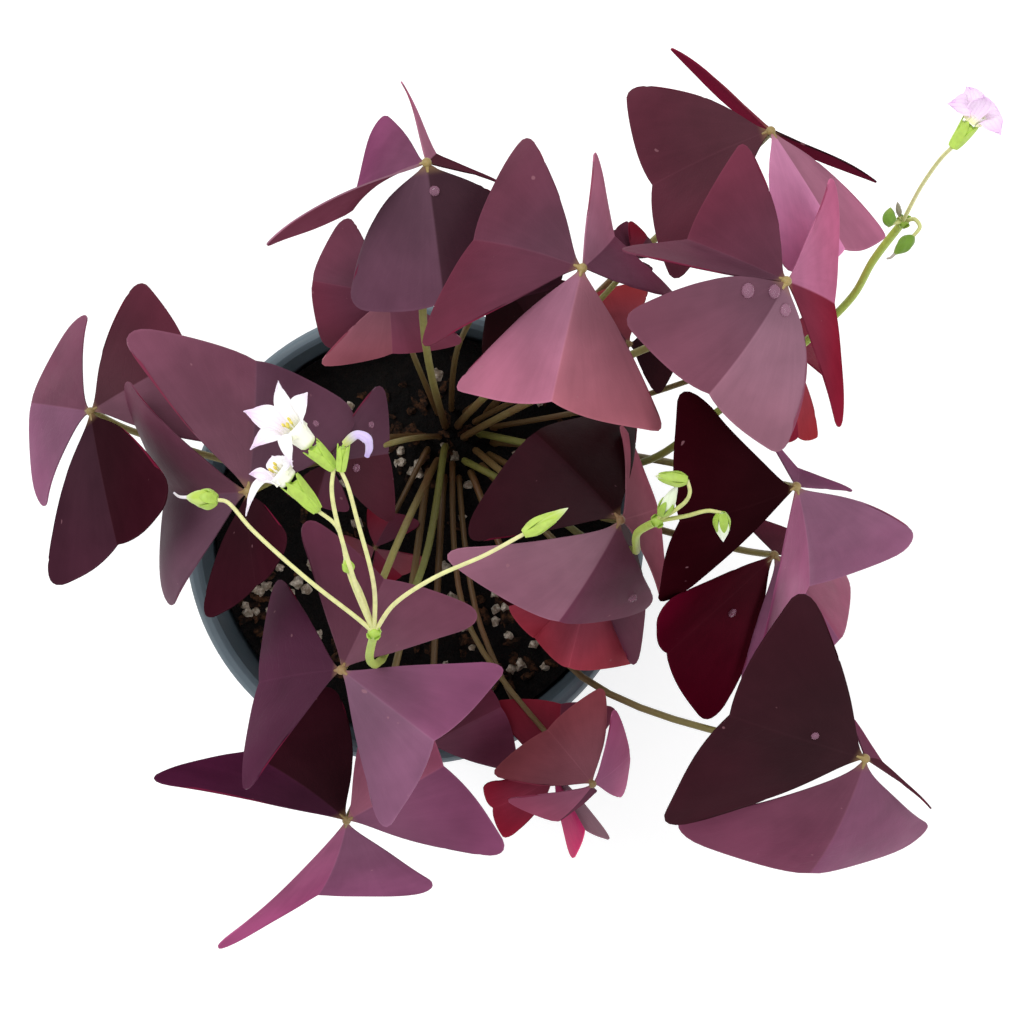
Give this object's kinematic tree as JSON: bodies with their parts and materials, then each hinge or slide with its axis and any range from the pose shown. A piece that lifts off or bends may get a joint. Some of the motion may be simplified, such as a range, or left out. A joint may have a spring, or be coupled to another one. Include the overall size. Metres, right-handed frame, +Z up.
{
  "type": "potted purple shamrock",
  "caption": "Purple shamrock house plant with folded three-part leaves on thin stems and small pale flowers, growing in a round plastic nursery pot.",
  "frame": {"origin": "centre of the pot's flat underside, on the surface it stands on", "axes": "+Z up along the pot's axis; +X to the right and +Y away as seen from above with the taller flower stalk at the front"},
  "size_m": [0.2091, 0.2061, 0.2461],
  "materials": {
    "leaf_plum": "soft satin leaf, dull purple",
    "leaf_dusky": "soft satin leaf, dark plum",
    "leaf_mauve": "soft satin leaf, greyish pink",
    "leaf_wine": "soft satin leaf, wine red",
    "petiole": "smooth olive stem",
    "stalk": "smooth pale green stem",
    "petal": "thin matt petal, white to lilac",
    "pot": "slate grey, slightly glossy",
    "soil": "loose, damp and matt"
  },
  "bodies": {
    "root": {"leaf_a_blade": "leaf_plum", "leaf_a_petiole": "petiole", "leaf_b_blade": "leaf_mauve", "leaf_b_petiole": "petiole", "leaf_c_blade": "leaf_plum", "leaf_c_petiole": "petiole", "leaf_d_blade": "leaf_mauve", "leaf_d_petiole": "petiole", "leaf_e_blade": "leaf_plum", "leaf_e_petiole": "petiole", "leaf_f_blade": "leaf_dusky", "leaf_f_petiole": "petiole", "leaf_g_blade": "leaf_plum", "leaf_g_petiole": "petiole", "leaf_h_blade": "leaf_plum", "leaf_h_petiole": "petiole", "leaf_i_blade": "leaf_plum", "leaf_i_petiole": "petiole", "leaf_j_blade": "leaf_plum", "leaf_j_petiole": "petiole", "leaf_k_blade": "leaf_wine", "leaf_k_petiole": "petiole", "leaf_l_blade": "leaf_plum", "leaf_l_petiole": "petiole", "leaf_m_blade": "leaf_dusky", "leaf_m_petiole": "petiole", "leaf_n_blade": "leaf_wine", "leaf_n_petiole": "petiole", "leaf_o_blade": "leaf_wine", "leaf_o_petiole": "petiole", "leaf_p_blade": "leaf_wine", "leaf_p_petiole": "petiole", "leaf_q_blade": "leaf_wine", "leaf_q_petiole": "petiole", "leaf_r_blade": "leaf_wine", "leaf_r_petiole": "petiole", "leaf_s_blade": "leaf_wine", "leaf_s_petiole": "petiole", "leaf_t_blade": "leaf_wine", "leaf_t_petiole": "petiole", "leaf_u_blade": "leaf_plum", "leaf_u_petiole": "petiole", "leaf_v_blade": "leaf_dusky", "leaf_v_petiole": "petiole", "leaf_w_blade": "leaf_dusky", "leaf_w_petiole": "petiole", "umbel_front": "stalk", "umbel_right": "stalk", "umbel_far": "stalk", "corolla_front_upper": "petal", "corolla_front_lower": "petal", "corolla_far": "petal", "corolla_front_spent": "petal", "pot": "pot", "soil": "soil"}
  },
  "joints": []
}
